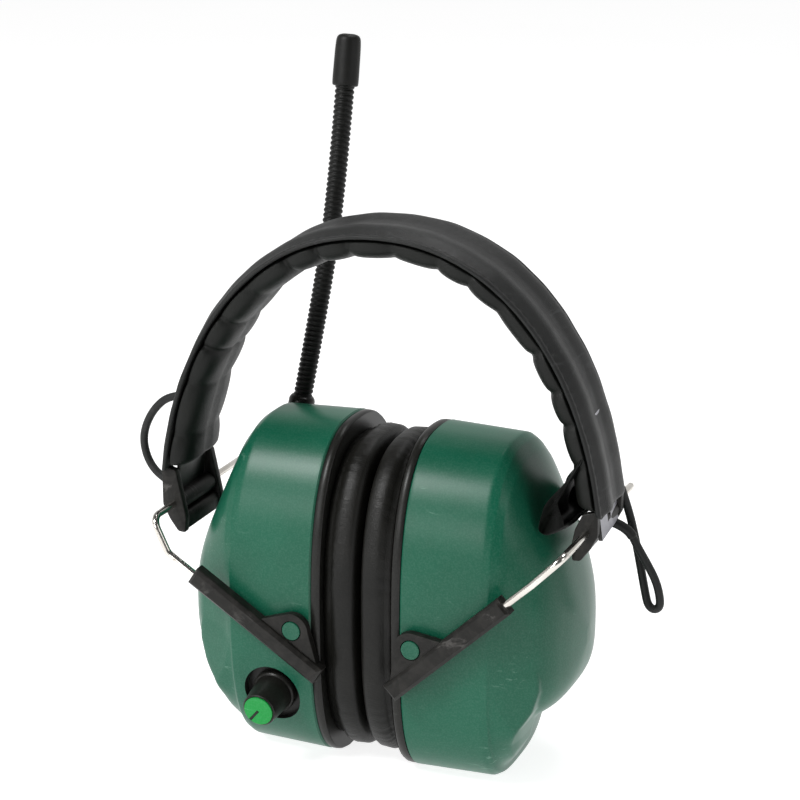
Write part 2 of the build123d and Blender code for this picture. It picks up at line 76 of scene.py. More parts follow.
# stations of a cup going outwards: x, lowest z, highest z, half depth
cup = {
    "power": 2.49, "lowPower": 3.1, "wall": 0.0026, "rimRound": 0.0005, "rows": 190, "columns": 240,
    "stations": [(0.0153, -0.0012, 0.1120, 0.0342), (0.0415, -0.0006, 0.1111, 0.0334),
                 (0.0440, 0.0010, 0.1093, 0.0332), (0.0470, 0.0150, 0.1050, 0.0316),
                 (0.0525, 0.0212, 0.0930, 0.0289), (0.0590, 0.0262, 0.0780, 0.0256),
                 (0.0622, 0.0300, 0.0690, 0.0210), (0.0646, 0.0345, 0.0610, 0.0140),
                 (0.0660, 0.0400, 0.0550, 0.0070), (0.0666, 0.0455, 0.0510, 0.0020)],
    # x and distance out from the opening, round the section of the back plate
    "rimSection": [(0.0120, -0.0008), (0.0120, 0.0156), (0.0126, 0.0162), (0.01515, 0.0162),
                   (0.01515, 0.0138), (0.0172, 0.0134), (0.0172, 0.0120), (0.0140, 0.0118),
                   (0.0140, -0.0008)],
    "rimWidth": 0.0162,
    # how far the stations are softened along the surface, at the crease and over the dome
    "creaseSoft": 0.0006, "domeSoft": 0.0036,
    # how far out the chin reaches at each height, and how far out its front corner is
    "chinHeights": (0.0, 0.0015, 0.005, 0.009, 0.0145, 0.018, 0.024, 0.030, 0.037),
    "chinReach": (0.0400, 0.0410, 0.0455, 0.0480, 0.0510, 0.0518, 0.0535, 0.0570, 0.0590),
    "cornerHeights": (0.0, 0.006, 0.011, 0.018, 0.025, 0.030, 0.037),
    "cornerReach": (0.0415, 0.0440, 0.0466, 0.0494, 0.0537, 0.0578, 0.0606),
    "cornerY": -0.029, "cornerSlope": 0.35, "chinTop": 0.040, "chinBack": -0.010, "chinFade": 0.0032,
    "chinDrop": 0.0035, "bevelX": 0.0445, "bevelY": -0.0325, "bevelSlope": 2.2,
    "pinX": 0.0204, "pinZ": 0.05, "pinRadius": 0.0031, "pinFace": 0.0381,
}

cushion = {
    "power": 2.49, "lowPower": 2.9, "centreZ": 0.0558, "rows": 320, "columns": 72,
    # half depth and half height of the outer outline and of the ear opening
    "outer": (0.0334, 0.0526), "inner": (0.018, 0.033),
    # distance from the middle plane, and share of the way from the opening to the outer outline
    "section": [(0.0003, 0.50), (0.0005, 0.30), (0.0016, 0.10), (0.0042, 0.005), (0.0078, 0.02),
                (0.0098, 0.10), (0.0112, 0.12), (0.0119, 0.14), (0.0119, 0.50), (0.0119, 0.84),
                (0.0108, 0.87), (0.0095, 0.90), (0.0086, 0.955), (0.0062, 0.998), (0.0036, 0.995),
                (0.0016, 0.93), (0.0005, 0.75)],
    "creases": 0.00028, "waves": 26, "seamAt": 0.0088, "seamDeep": 0.0005,
}

band = {
    "turn": 3.9, "turnAbout": 0.069, "halfSpan": 0.0761, "rise": 0.1068, "power": 2.14,
    "springZ": 0.0718, "endZ": 0.0933, "rows": 420,
    # across the band and inwards from the outer face, for one half of the section
    "cover": [(0.0, 0.0010), (0.0025, 0.0009), (0.0055, 0.0003), (0.0082, 0.0), (0.0105, 0.0003),
              (0.0126, 0.0012), (0.0140, 0.0018), (0.0148, 0.0019), (0.0160, 0.0018), (0.01655, 0.0022),
              (0.0166, 0.0028), (0.0160, 0.0033), (0.013, 0.0033), (0.0, 0.0033)],
    "coverHalf": 0.0166, "coverMiddle": 0.0017, "coverRound": 0.0012,
    "stitch": 0.0034, "stitchAt": 0.0146, "stitchDeep": 0.0003,
    "padEnd": 0.0955, "padStart": 0.0034, "padBack": 0.0012, "padThick": 0.0074, "padHalfWidth": 0.0160,
    "lobe": 0.0142, "lobeDeep": 0.0020, "lobeIn": 0.0017,
}

flap = {
    # distance out and height, from the pad down to the loose lip and back to the bracket
    "line": [(0.0668, 0.1120), (0.0640, 0.1060), (0.0612, 0.1000), (0.0588, 0.0948), (0.0576, 0.0910),
             (0.0580, 0.0884), (0.0600, 0.0874), (0.0628, 0.0886), (0.0655, 0.0908)],
    "halfWidth": 0.0158, "flare": 0.0040, "thick": 0.0011, "looseBelow": 0.110, "looseOver": 0.016,
}

bracket = {
    # distance out and height above the hinge, round one cheek and round the web between the cheeks
    "cheek": [(0.0728, -0.0005), (0.0704, -0.0052), (0.0674, -0.0092), (0.0648, -0.0094),
              (0.0644, -0.0040), (0.0654, 0.0010)],
    "web": [(0.0650, -0.0090), (0.0674, -0.0090), (0.0700, -0.0052), (0.0706, -0.0034),
            (0.0660, -0.0034), (0.0650, -0.0050)],
    "top": {"left": 0.0132, "right": 0.0076}, "topIn": 0.0678, "topOut": 0.0727, "topDrop": 0.0014,
    "halfWidth": 0.0140, "cheekThick": 0.0028, "round": 0.0007, "edge": 0.00045,
    "hingeX": 0.069, "hingeZ": {"left": 0.0814, "right": 0.0872},
    "shiftY": {"left": -0.00939, "right": 0.0}, "barrel": 0.0032, "barrelEdge": 0.0003,
}

plate = {
    "x": {"left": 0.0701, "right": 0.0710}, "lift": 0.0056, "lean": 8.0,
    # how far it reaches below and above its middle, and where its slot starts and ends
    "down": 0.0085, "up": 0.030, "slot": {"left": (0.0070, 0.0140), "right": (-0.0052, 0.0030)},
    "halfWidth": 0.011, "thick": 0.0012, "slotHalf": 0.002, "round": 0.0003,
}

antenna = {
    "route": [(-0.042, 0.019, 0.1065), (-0.0360, 0.0256, 0.148), (-0.0334, 0.0324, 0.185),
              (-0.0326, 0.03905, 0.2245)],
    "radius": 0.0032, "rib": 0.0017, "ribDeep": 0.00042,
    # distance along the axis and radius
    "tip": [(0.0, 0.0028), (0.0002, 0.003999), (0.0012, 0.0043), (0.006, 0.0043), (0.0136, 0.004128),
            (0.01615, 0.003612), (0.017, 0.001935), (0.017, 0.0)],
    "tipBack": 0.013,
    "collar": [(-0.001, 0.0), (-0.001, 0.0044), (0.0018, 0.0044), (0.0026, 0.0041), (0.0032, 0.0036),
               (0.0034, 0.0030), (0.0034, 0.0)],
}

knob = {
    "place": (-0.0302, -0.0284, 0.0246), "tilt": 8.0, "recess": 0.0100, "wellWall": 0.0018,
    # distance along the axis from the seat and radius, going outwards
    "profile": [(0.0006, 0.0), (0.0006, 0.0068), (0.0009, 0.0072), (0.0014, 0.00735), (0.0023, 0.0073),
                (0.0027, 0.0070), (0.0030, 0.0066), (0.0040, 0.00645), (0.0130, 0.00570),
                (0.01375, 0.00555), (0.01400, 0.0052), (0.01395, 0.00495), (0.0133, 0.00492),
                (0.0130, 0.0047), (0.0130, 0.0)],
    "capFace": 0.01408, "pointerTurn": 230.0, "pointer": (0.0001, 0.0051), "pointerHalf": (0.0004, 0.00022),
}


def say(text):
    print("stage:", text)


# grids and meshes

def fill(name, vertices, faces, material, uv, sharp):
    mesh = bpy.data.meshes.new(name)
    mesh.from_pydata(vertices.tolist(), [], faces)
    layer = mesh.uv_layers.new(name="surface")
    layer.data.foreach_set("uv", uv.ravel())
    # a closed surface holds a positive volume when its faces point outwards
    mesh.calc_loop_triangles()
    corners = np.empty(len(mesh.loop_triangles) * 3, dtype=np.int32)
    mesh.loop_triangles.foreach_get("vertices", corners)
    first, second, third = vertices[corners.reshape(-1, 3)].swapaxes(0, 1)
    if np.einsum("ij,ij->", first, np.cross(second, third)) < 0:
        mesh.flip_normals()
    mesh.shade_smooth()
    if sharp:
        mesh.set_sharp_from_angle(angle=math.radians(sharp))
    mesh.materials.append(material)
    thing = bpy.data.objects.new(name, mesh)
    bpy.context.scene.collection.objects.link(thing)
    return thing


def sheetOf(points, aroundRows=False, aroundColumns=True, size=(1.0, 1.0)):
    # quads between the rows of a grid of points, and a fan over each open end; size is the map's extent
    rows, columns = points.shape[:2]
    lastRow = rows if aroundRows else rows - 1
    lastColumn = columns if aroundColumns else columns - 1
    i, j = np.meshgrid(np.arange(lastRow), np.arange(lastColumn), indexing="ij")
    nextI, nextJ = (i + 1) % rows, (j + 1) % columns
    here, ahead = i * columns, nextI * columns
    quads = np.stack([here + j, here + nextJ, ahead + nextJ, ahead + j], -1)
    faces = quads.reshape(-1, 4).tolist()
    u = np.stack([j, j + 1, j + 1, j], -1) / lastColumn * size[0]
    v = np.stack([i, i, i + 1, i + 1], -1) / lastRow * size[1]
    uv = np.stack([u, v], -1).reshape(-1, 2)
    vertices = points.reshape(-1, 3)
    if aroundColumns and not aroundRows:
        ring = np.arange(columns)
        for row, middle in ((0, 0.0), (rows - 1, size[1])):
            order = (ring + 1, ring) if row == 0 else (ring, ring + 1)
            hub = len(vertices)
            vertices = np.vstack([vertices, points[row].mean(axis=0)])
            corners = [row * columns + step % columns for step in order]
            faces += np.stack([np.full(columns, hub), *corners], -1).tolist()
            along = np.stack([ring + 0.5, *order], -1) / columns
            fan = np.stack([along * size[0], np.full_like(along, middle)], -1)
            uv = np.vstack([uv, fan.reshape(-1, 2)])
    return vertices, faces, uv


def gridPiece(name, points, material, sharp=None, **how):
    vertices, faces, uv = sheetOf(points, **how)
    return fill(name, vertices, faces, material, uv, sharp)


def eased(value):
    value = np.clip(value, 0.0, 1.0)
    return value * value * (3 - 2 * value)


def power(value, exponent):
    return np.sign(value) * np.abs(value) ** exponent


def smaller(first, second, blend):
    return (first + second - np.sqrt((first - second) ** 2 + blend ** 2)) / 2


def softened(at, knots, values, reach):
    # the running mean of a broken line over plus and minus reach, from the difference of its integral
    fine = np.linspace(knots[0], knots[-1], 6000)
    height = np.interp(fine, knots, values)
    total = np.concatenate([[0.0], np.cumsum((height[1:] + height[:-1]) / 2 * np.diff(fine))])
    reach = np.minimum(np.minimum(reach, at - knots[0]), knots[-1] - at)
    reach = np.maximum(reach, 1e-9)
    mean = (np.interp(at + reach, fine, total) - np.interp(at - reach, fine, total)) / (2 * reach)
    return np.where(reach < 1e-6, np.interp(at, knots, values), mean)


def evenly(points, count, closed=False):
    if closed:
        points = np.vstack([points, points[:1]])
    travelled = np.concatenate([[0.0], np.cumsum(np.linalg.norm(np.diff(points, axis=0), axis=1))])
    at = np.linspace(0.0, travelled[-1], count + 1 if closed else count)
    even = np.stack([np.interp(at, travelled, points[:, k]) for k in range(points.shape[1])], -1)
    return even[:-1] if closed else even


def rounded(points, count, closed=True):
    # a cubic through given points: each run is a Hermite blend with the chord of its neighbours as slope
    points = np.asarray(points, dtype=float)
    runs = len(points) if closed else len(points) - 1
    at = np.arange(runs * 24) / 24.0
    run, part = at.astype(int), (at % 1)[:, None]
    if closed:
        before, here, there, beyond = (points[(run + k) % len(points)] for k in (-1, 0, 1, 2))
    else:
        last = len(points) - 1
        before, here, there, beyond = (points[np.clip(run + k, 0, last)] for k in (-1, 0, 1, 2))
    slopeA, slopeB = (there - before) / 2, (beyond - here) / 2
    curve = ((2 * part ** 3 - 3 * part ** 2 + 1) * here + (part ** 3 - 2 * part ** 2 + part) * slopeA
             + (3 * part ** 2 - 2 * part ** 3) * there + (part ** 3 - part ** 2) * slopeB)
    if not closed:
        curve = np.vstack([curve, points[-1]])
    return evenly(curve, count, closed)


def filleted(points, radius):
    # each corner of a closed outline becomes a short parabola between points set back by radius
    points = np.asarray(points, dtype=float)
    before = unit(np.roll(points, 1, axis=0) - points)
    after = unit(np.roll(points, -1, axis=0) - points)
    part = np.linspace(0, 1, 6)[None, :, None]
    start, end = (points + before * radius)[:, None], (points + after * radius)[:, None]
    curve = (1 - part) ** 2 * start + 2 * part * (1 - part) * points[:, None] + part ** 2 * end
    return curve.reshape(-1, 2)


def slab(name, outline, low, high, edge, material):
    # an outline of x and z carried along y, drawn in a little at both ends for a rounded edge
    away = outline - outline.mean(axis=0)
    length = np.linalg.norm(away, axis=1)[:, None]
    drawn, stops = np.array([1.0, 0.5, 0.15, 0.0]), np.array([0.0, 0.15, 0.5, 1.0])
    drawn = edge * np.concatenate([drawn, drawn[::-1]])[:, None, None]
    rings = outline - away * drawn / length
    y = np.concatenate([low + edge * stops, high - edge * stops[::-1]])
    y = np.broadcast_to(y[:, None], rings.shape[:2])
    return gridPiece(name, np.stack([rings[..., 0], y, rings[..., 1]], -1), material, 34)


def splinePoints(route, resolution=20):
    curve = bpy.data.curves.new("route", "CURVE")
    curve.dimensions = "3D"
    curve.resolution_u = resolution
    spline = curve.splines.new("NURBS")
    spline.points.add(len(route) - 1)
    spline.points.foreach_set("co", np.c_[np.array(route), np.ones(len(route))].ravel())
    spline.order_u = 3
    spline.use_endpoint_u = True
    holder = bpy.data.objects.new("route", curve)
    mesh = bpy.data.meshes.new_from_object(holder)
    points = np.empty(len(mesh.vertices) * 3)
    mesh.vertices.foreach_get("co", points)
    bpy.data.objects.remove(holder)
    bpy.data.curves.remove(curve)
    bpy.data.meshes.remove(mesh)
    return points.reshape(-1, 3)


def unit(vectors):
    return vectors / np.linalg.norm(vectors, axis=-1, keepdims=True)


def tube(path, radius, columns, across=(0.0, 1.0, 0.0)):
    # a ring at each point of the path, square to it; across is a direction that the path never follows
    tangent = unit(np.gradient(path, axis=0))
    sideways = unit(np.cross(tangent, np.array(across)))
    upward = np.cross(sideways, tangent)
    turn = (np.arange(columns) / columns * 2 * np.pi)[None, :, None]
    radius = np.broadcast_to(radius, (len(path),))[:, None, None]
    ring = np.cos(turn) * sideways[:, None, :] + np.sin(turn) * upward[:, None, :]
    return path[:, None, :] + radius * ring


def turned(profile, place, axis, columns=96):
    # a profile of distance along the axis and radius, spun about an axis that never follows x
    axis = np.array(axis) / np.linalg.norm(axis)
    sideways = unit(np.cross(axis, np.array((1.0, 0.03, 0.02))))
    upward = np.cross(sideways, axis)
    turn = np.arange(columns) / columns * 2 * np.pi
    ring = np.cos(turn)[:, None] * sideways + np.sin(turn)[:, None] * upward
    profile = np.asarray(profile, dtype=float)
    profile = np.c_[profile[:, 0], np.maximum(profile[:, 1], 1e-5)]
    return np.array(place) + profile[:, :1, None] * axis + profile[:, 1:, None] * ring[None]


# shader nodes

class Wire:
    def __init__(self, look, socket):
        self.look, self.socket = look, socket

    def maths(self, operation, first, second=0.0):
        return self.look.node("ShaderNodeMath", {"operation": operation}, {0: first, 1: second})

    def __add__(self, other):
        return self.maths("ADD", self, other)

    def __radd__(self, other):
        return self.maths("ADD", other, self)

    def __sub__(self, other):
        return self.maths("SUBTRACT", self, other)

    def __rsub__(self, other):
        return self.maths("SUBTRACT", other, self)

    def __mul__(self, other):
        return self.maths("MULTIPLY", self, other)

    def __rmul__(self, other):
        return self.maths("MULTIPLY", other, self)

    def above(self, low, high):
        # 0 below low, 1 above high, eased between
        return self.look.node("ShaderNodeMapRange", {"interpolation_type": "SMOOTHSTEP", "clamp": True},
                              {"Value": self, "From Min": low, "From Max": high})


class Look:
    def __init__(self, name, metallic=0.0, specular=0.5, coat=0.0):
        self.material = bpy.data.materials.new(name)
        self.material.use_nodes = True
        self.tree = self.material.node_tree
        self.surface = self.tree.nodes["Principled BSDF"]
        self.surface.inputs["Metallic"].default_value = metallic
        self.surface.inputs["Specular IOR Level"].default_value = specular
        self.surface.inputs["Coat Weight"].default_value = coat
        self.surface.inputs["Coat Roughness"].default_value = 0.2
        self.objectPlace = self.node("ShaderNodeTexCoord", out="Object")
        self.surfacePlace = self.node("ShaderNodeTexCoord", out="UV")

    def node(self, kind, settings=None, values=None, out=0):
        made = self.tree.nodes.new(kind)
        for key, value in (settings or {}).items():
            setattr(made, key, value)
        for key, value in (values or {}).items():
            if isinstance(value, Wire):
                self.tree.links.new(value.socket, made.inputs[key])
            else:
                made.inputs[key].default_value = value
        return Wire(self, made.outputs[out])

    def stretched(self, place, scale):
        return self.node("ShaderNodeMapping", {"vector_type": "POINT"}, {"Vector": place, "Scale": scale})

    def noise(self, scale, detail=3.0, rough=0.55, place=None, distortion=0.0):
        values = {"Vector": place or self.objectPlace, "Scale": scale, "Detail": detail,
                  "Roughness": rough, "Distortion": distortion}
        return self.node("ShaderNodeTexNoise", None, values)

    def cells(self, scale, feature="DISTANCE_TO_EDGE", place=None):
        values = {"Vector": place or self.objectPlace, "Scale": scale}
        return self.node("ShaderNodeTexVoronoi", {"feature": feature}, values)

    def axis(self, place, which):
        return self.node("ShaderNodeSeparateXYZ", None, {"Vector": place}, out=which)

    def mixed(self, factor, first, second):
        def colour(value):
            return value if isinstance(value, Wire) else (*value, 1.0)
        made = self.tree.nodes.new("ShaderNodeMix")
        made.data_type = "RGBA"
        for key, value in ((0, factor), (6, colour(first)), (7, colour(second))):
            if isinstance(value, Wire):
                self.tree.links.new(value.socket, made.inputs[key])
            else:
                made.inputs[key].default_value = value
        return Wire(self, made.outputs[2])

    def paint(self, colour, roughness):
        self.tree.links.new(colour.socket, self.surface.inputs["Base Color"])
        self.tree.links.new(roughness.socket, self.surface.inputs["Roughness"])

    def bump(self, *layers):
        # each layer is a height field and its depth in metres
        normal = None
        for height, depth in layers:
            values = {"Height": height, "Distance": depth, "Strength": 1.0}
            if normal:
                values["Normal"] = normal
            normal = self.node("ShaderNodeBump", None, values)
        self.tree.links.new(normal.socket, self.surface.inputs["Normal"])


def mouldedPlastic(name, dark, light, pale, rough, grainDepth, scuffs, specular):
    # broad tone drift between dark and light, a fine moulded grain, and rare pale scuffs
    look = Look(name, specular=specular)
    drift = look.noise(22, 4.0, 0.6)
    grain = look.noise(1900, 2.0, 0.5)
    tone = look.mixed(drift.above(0.35, 0.65), dark, light)
    streak = look.noise(60, 5.0, 0.62, look.stretched(look.objectPlace, (1.0, 6.0, 9.0)), 1.2)
    rare = look.noise(34, 3.0, 0.5)
    marks = streak.above(0.60, 0.68) * rare.above(0.56, 0.66) * scuffs
    tone = look.mixed(marks, tone, pale)
    tone = look.mixed(grain.above(0.35, 0.75) * 0.12, tone, pale)
    look.paint(tone, drift * 0.10 + grain * 0.07 + marks * 0.12 + (rough - 0.085))
    look.bump((grain, grainDepth), (streak, grainDepth * 1.5))
    return look.material


def wornPlastic(name, dark, light, pale):
    # brown-black moulding with cloudy handling marks and fine scratches along it
    look = Look(name, specular=0.22)
    cloud = look.noise(210, 5.0, 0.65, None, 0.8)
    patch = look.noise(75, 3.0, 0.5)
    scratch = look.noise(90, 6.0, 0.7, look.stretched(look.objectPlace, (1.0, 10.0, 1.4)), 0.6)
    grain = look.noise(1500, 2.0, 0.5)
    tone = look.mixed(cloud.above(0.38, 0.68), dark, light)
    tone = look.mixed(scratch.above(0.57, 0.66) * patch.above(0.45, 0.6) * 0.5, tone, pale)
    look.paint(tone, cloud * 0.22 + scratch * 0.12 + 0.27)
    look.bump((grain, 0.00003), (cloud, 0.00005), (scratch, 0.00004))
    return look.material


def slidePlateMetal(name):
    # dark on the face towards the head and on its edges; the outer face, a narrow run of the map's first
    # axis, is pale
    look = Look(name, metallic=0.25)
    around = look.axis(look.surfacePlace, 0)
    outer = around.above(0.40, 0.44) * (1.0 - around.above(0.52, 0.56))
    haze = look.noise(120, 4.0, 0.6)
    spots = look.noise(600, 3.0, 0.6)
    dark = look.mixed(haze.above(0.4, 0.65), (0.010, 0.010, 0.009), (0.022, 0.022, 0.020))
    pale = look.mixed(haze.above(0.4, 0.65), (0.26, 0.26, 0.29), (0.36, 0.36, 0.39))
    tone = look.mixed(outer, dark, pale)
    look.paint(look.mixed(spots.above(0.62, 0.72) * 0.4, tone, (0.12, 0.12, 0.12)), haze * 0.15 + 0.30)
    look.bump((haze, 0.00003), (spots, 0.00001))
    return look.material


def brightMetal(name, colour, dull, rough, fleck):
    # drawn metal: streaks along it, dull flecks and a little tarnish
    look = Look(name, metallic=1.0)
    streak = look.noise(160, 4.0, 0.6, look.stretched(look.objectPlace, (0.6, 4.0, 0.6)))
    spots = look.noise(520, 3.0, 0.6)
    haze = look.noise(45, 2.0, 0.5)
    tone = look.mixed(haze.above(0.4, 0.7) * 0.5 + spots.above(0.60, 0.70) * fleck, colour, dull)
    look.paint(tone, streak * 0.12 + spots.above(0.58, 0.70) * 0.12 + haze * 0.08 + (rough - 0.09))
    look.bump((streak, 0.00001), (spots, 0.00001))
    return look.material


def leatherette(name, dark, light, cell, depth, rough):
    # pebbled skin: rounded cells with fine valleys between, painted shade darkening the valleys, broad tone
    # drift and smoother rubbed places
    look = Look(name, specular=0.25)
    where = look.surfacePlace
    pebble = look.cells(cell, "DISTANCE_TO_EDGE", where)
    small = look.cells(cell * 2.3, "DISTANCE_TO_EDGE", where)
    drift = look.noise(38, 4.0, 0.6, where)
    rubbed = look.noise(95, 3.0, 0.55, where)
    valley = pebble.above(0.0, 0.22) * 0.7 + small.above(0.0, 0.2) * 0.3
    tone = look.mixed(drift.above(0.36, 0.66), dark, light)
    # painted shade: the valleys between the pebbles are darkened
    tone = look.mixed((1.0 - valley) * 0.35, tone, (dark[0] * 0.5, dark[1] * 0.5, dark[2] * 0.5))
    look.paint(tone, rubbed * 0.16 - valley * 0.06 + (rough - 0.03))
    look.bump((valley, depth), (rubbed, depth * 1.6))
    return look.material


def coverVinyl(name):
    # smooth grained vinyl with pale creases across it, and painted shade in the valleys of its grain
    look = Look(name, specular=0.24)
    where = look.surfacePlace
    pebble = look.cells(1500, "DISTANCE_TO_EDGE", where)
    drift = look.noise(30, 4.0, 0.6, where)
    crease = look.noise(70, 4.0, 0.6, look.stretched(where, (1.0, 3.0, 1.0)), 0.7)
    valley = pebble.above(0.0, 0.2)
    tone = look.mixed(drift.above(0.35, 0.65), (0.0120, 0.0124, 0.0120), (0.0185, 0.0190, 0.0185))
    # painted shade: the valleys of the grain are darkened
    tone = look.mixed((1.0 - valley) * 0.3, tone, (0.010, 0.011, 0.011))
    tone = look.mixed(crease.above(0.60, 0.70) * 0.35, tone, (0.06, 0.062, 0.063))
    look.paint(tone, crease * 0.16 + drift * 0.10 + 0.33)
    look.bump((valley, 0.00003), (crease, 0.00008))
    return look.material


def ribbedRubber(name, colour, pale):
    look = Look(name, specular=0.25)
    dust = look.noise(300, 4.0, 0.6)
    grain = look.noise(2500, 2.0, 0.5)
    tone = look.mixed(dust.above(0.5, 0.75) * 0.5, colour, pale)
    look.paint(tone, dust * 0.18 + grain * 0.08 + 0.36)
    look.bump((grain, 0.00002), (dust, 0.00003))
    return look.material


def openFoam(name):
    look = Look(name, specular=0.2)
    pores = look.cells(900, "F1")
    fine = look.noise(1600, 3.0, 0.6)
    # painted shade: each pore is darkened towards its middle
    tone = look.mixed(pores.above(0.15, 0.6), (0.012, 0.012, 0.013), (0.06, 0.06, 0.062))
    look.paint(tone, fine * 0.1 + 0.85)
    look.bump((pores, 0.0005), (fine, 0.0001))
    return look.material


def circuitLacquer(name):
    # green lacquer with copper tracks seen through it
    look = Look(name, coat=0.4)
    tracks = look.cells(170, "DISTANCE_TO_EDGE")
    speck = look.noise(900, 2.0, 0.5)
    tone = look.mixed(tracks.above(0.05, 0.08), (0.07, 0.17, 0.05), (0.01, 0.09, 0.03))
    look.paint(tone, speck * 0.2 + 0.25)
    look.bump((tracks.above(0.04, 0.09), 0.00005))
    return look.material


def paleFloor(name):
    # a matt white sweep that glows, so that it stays white far behind the object
    look = Look(name, specular=0.0)
    cloth = look.noise(5, 2.0, 0.5)
    look.paint(look.mixed(cloth, (0.50, 0.50, 0.50), (0.54, 0.54, 0.54)), cloth * 0.05 + 0.8)
    look.surface.inputs["Emission Color"].default_value = (1.0, 1.0, 1.0, 1.0)
    look.surface.inputs["Emission Strength"].default_value = 0.84
    return look.material


looks = {
    "green_shell": mouldedPlastic("green_shell", (0.0012, 0.078, 0.041), (0.0020, 0.091, 0.049),
                                  (0.14, 0.28, 0.21), 0.33, 0.000012, 0.5, 0.32),
    "green_cap": mouldedPlastic("green_cap", (0.003, 0.235, 0.035), (0.004, 0.262, 0.043),
                                (0.15, 0.5, 0.25), 0.40, 0.00002, 0.4, 0.25),
    "black_plastic": mouldedPlastic("black_plastic", (0.0065, 0.0065, 0.0055), (0.010, 0.010, 0.0085),
                                    (0.07, 0.07, 0.065), 0.34, 0.000015, 0.5, 0.25),
    "arm_plastic": wornPlastic("arm_plastic", (0.0075, 0.0072, 0.0062), (0.0180, 0.0168, 0.0150),
                               (0.11, 0.105, 0.10)),
    "wire": brightMetal("wire", (0.80, 0.78, 0.74), (0.42, 0.38, 0.32), 0.17, 0.6),
    "slide_metal": slidePlateMetal("slide_metal"),
    "steel": brightMetal("steel", (0.66, 0.63, 0.56), (0.35, 0.32, 0.27), 0.32, 0.5),
    "cushion_skin": leatherette("cushion_skin", (0.0036, 0.0036, 0.0028), (0.0080, 0.0078, 0.0064),
                                1150, 0.00003, 0.40),
    "band_vinyl": coverVinyl("band_vinyl"),
    "pad_fabric": leatherette("pad_fabric", (0.0022, 0.0029, 0.0021), (0.0048, 0.0056, 0.0044),
                              1300, 0.00003, 0.46),
    "foam": openFoam("foam"),
    "lead_jacket": ribbedRubber("lead_jacket", (0.014, 0.015, 0.0145), (0.035, 0.035, 0.034)),
    "antenna_rubber": ribbedRubber("antenna_rubber", (0.0030, 0.0032, 0.0026), (0.014, 0.014, 0.013)),
    "board": circuitLacquer("board"),
}
say("materials made")


# camera and leads

camera = bpy.data.objects.new("camera", bpy.data.cameras.new("camera"))
camera.data.lens = view["lens"]
camera.data.sensor_width = 36.0
camera.location = view["place"]
camera.rotation_euler = (math.radians(90 - view["down"]), 0.0, math.radians(view["turn"]))
bpy.context.scene.collection.objects.link(camera)
bpy.context.scene.camera = camera

for side in sides:
    centre = evenly(splinePoints(leads[side]), 160)
    rings = tube(centre, leads["width"] / 2, 24)
    size = (math.pi * leads["width"], leads["length"][side])
    lead = gridPiece(f"{side}Lead", rings, looks["lead_jacket"], size=size)
    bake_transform(lead)
    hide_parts(f"{side}_lead")
say("camera and leads made")


# cup shells

def cupSurface(sign, inset, rows, columns):
    # superellipse outlines whose size follows the softened stations; the chin is the larger of dome and pod
    table = np.array(cup["stations"])
    steps = np.linalg.norm(np.diff(table * (1.0, 0.5, 0.5, 1.0), axis=0), axis=1)
    knots = np.concatenate([[0.0], np.cumsum(steps)])
    # a fifth of the rows go to the plain wall, up to shortly before the crease
    wall = rows // 5
    wallEnd = knots[2] * 0.9
    at = np.linspace(0.0, wallEnd, wall)[:-1]
    at = np.concatenate([at, np.linspace(wallEnd, knots[-1], rows - wall + 1)])
    domed = eased((at - knots[2] - 0.001) / 0.012)
    reach = cup["creaseSoft"] + (cup["domeSoft"] - cup["creaseSoft"]) * domed
    x, low, high, depth = (softened(at, knots, table[:, k], reach) for k in range(4))
    shrink = inset * (1 - 0.2 * eased((at - knots[2]) / 0.01))
    x = x - inset * eased((at - knots[2] * 0.8) / (knots[-1] - knots[2]))
    low, high, depth = low + shrink, high - shrink, depth - shrink
    low, high = np.minimum(low, (low + high) / 2 - 1e-4), np.maximum(high, (low + high) / 2 + 1e-4)
    depth = np.maximum(depth, 1e-4)
    turn = np.arange(columns) / columns * 2 * np.pi
    bend = 2 / np.where(np.sin(turn) < 0, cup["lowPower"], cup["power"])
    y = depth[:, None] * power(np.cos(turn), bend)[None]
    z = ((low + high) / 2)[:, None] + ((high - low) / 2)[:, None] * power(np.sin(turn), bend)[None]
    x = np.broadcast_to(x[:, None], y.shape).copy()
    # the pod reaches out by its height tables, falls away behind chinBack, is cut by a sloping corner and
    # is bevelled towards the front crease
    behind = np.maximum(0, (y - cup["chinBack"]) / cup["chinFade"])
    pod = np.interp(z, cup["chinHeights"], cup["chinReach"]) - cup["chinDrop"] * behind ** 2
    corner = np.interp(z, cup["cornerHeights"], cup["cornerReach"])
    corner = corner + cup["cornerSlope"] * (y - cup["cornerY"])
    bevel = cup["bevelX"] + cup["bevelSlope"] * (y - cup["bevelY"])
    pod = smaller(smaller(pod, corner, 0.0008), bevel, 0.0010)
    pod = pod - 40.0 * np.maximum(z - cup["chinTop"], 0) ** 2 - inset
    joined = (x + pod + np.sqrt((x - pod) ** 2 + 0.0006 ** 2)) / 2
    share = eased((x - 0.0442 + inset / 2) / 0.0012)
    x = x + np.maximum(joined - x, 0.0) * share
    z = np.maximum(z, inset)
    return np.stack([sign * x, y, z], -1)


def shellBody(name, sign):
    outer = cupSurface(sign, 0.0, cup["rows"], cup["columns"])
    inner = cupSurface(sign, cup["wall"], 60, cup["columns"])
    # a small round on the rim before the outer wall starts
    rim = cupSurface(sign, cup["rimRound"], 12, cup["columns"])[:1]
    outer[0, :, 0] += sign * cup["rimRound"]
    points = np.vstack([inner[::-1], rim, outer])
    return gridPiece(name, points, looks["green_shell"], 35)


def cutBy(thing, cutter, operation):
    change = thing.modifiers.new("cut", "BOOLEAN")
    change.operation, change.object, change.solver = operation, cutter, "EXACT"
    change.material_mode = "TRANSFER"
    graph = bpy.context.evaluated_depsgraph_get()
    result = bpy.data.meshes.new_from_object(thing.evaluated_get(graph))
    thing.modifiers.remove(change)
    old = thing.data
    thing.data = result
    bpy.data.meshes.remove(old)
    bpy.data.objects.remove(cutter)
    result.shade_smooth()
    result.set_sharp_from_angle(angle=math.radians(32))


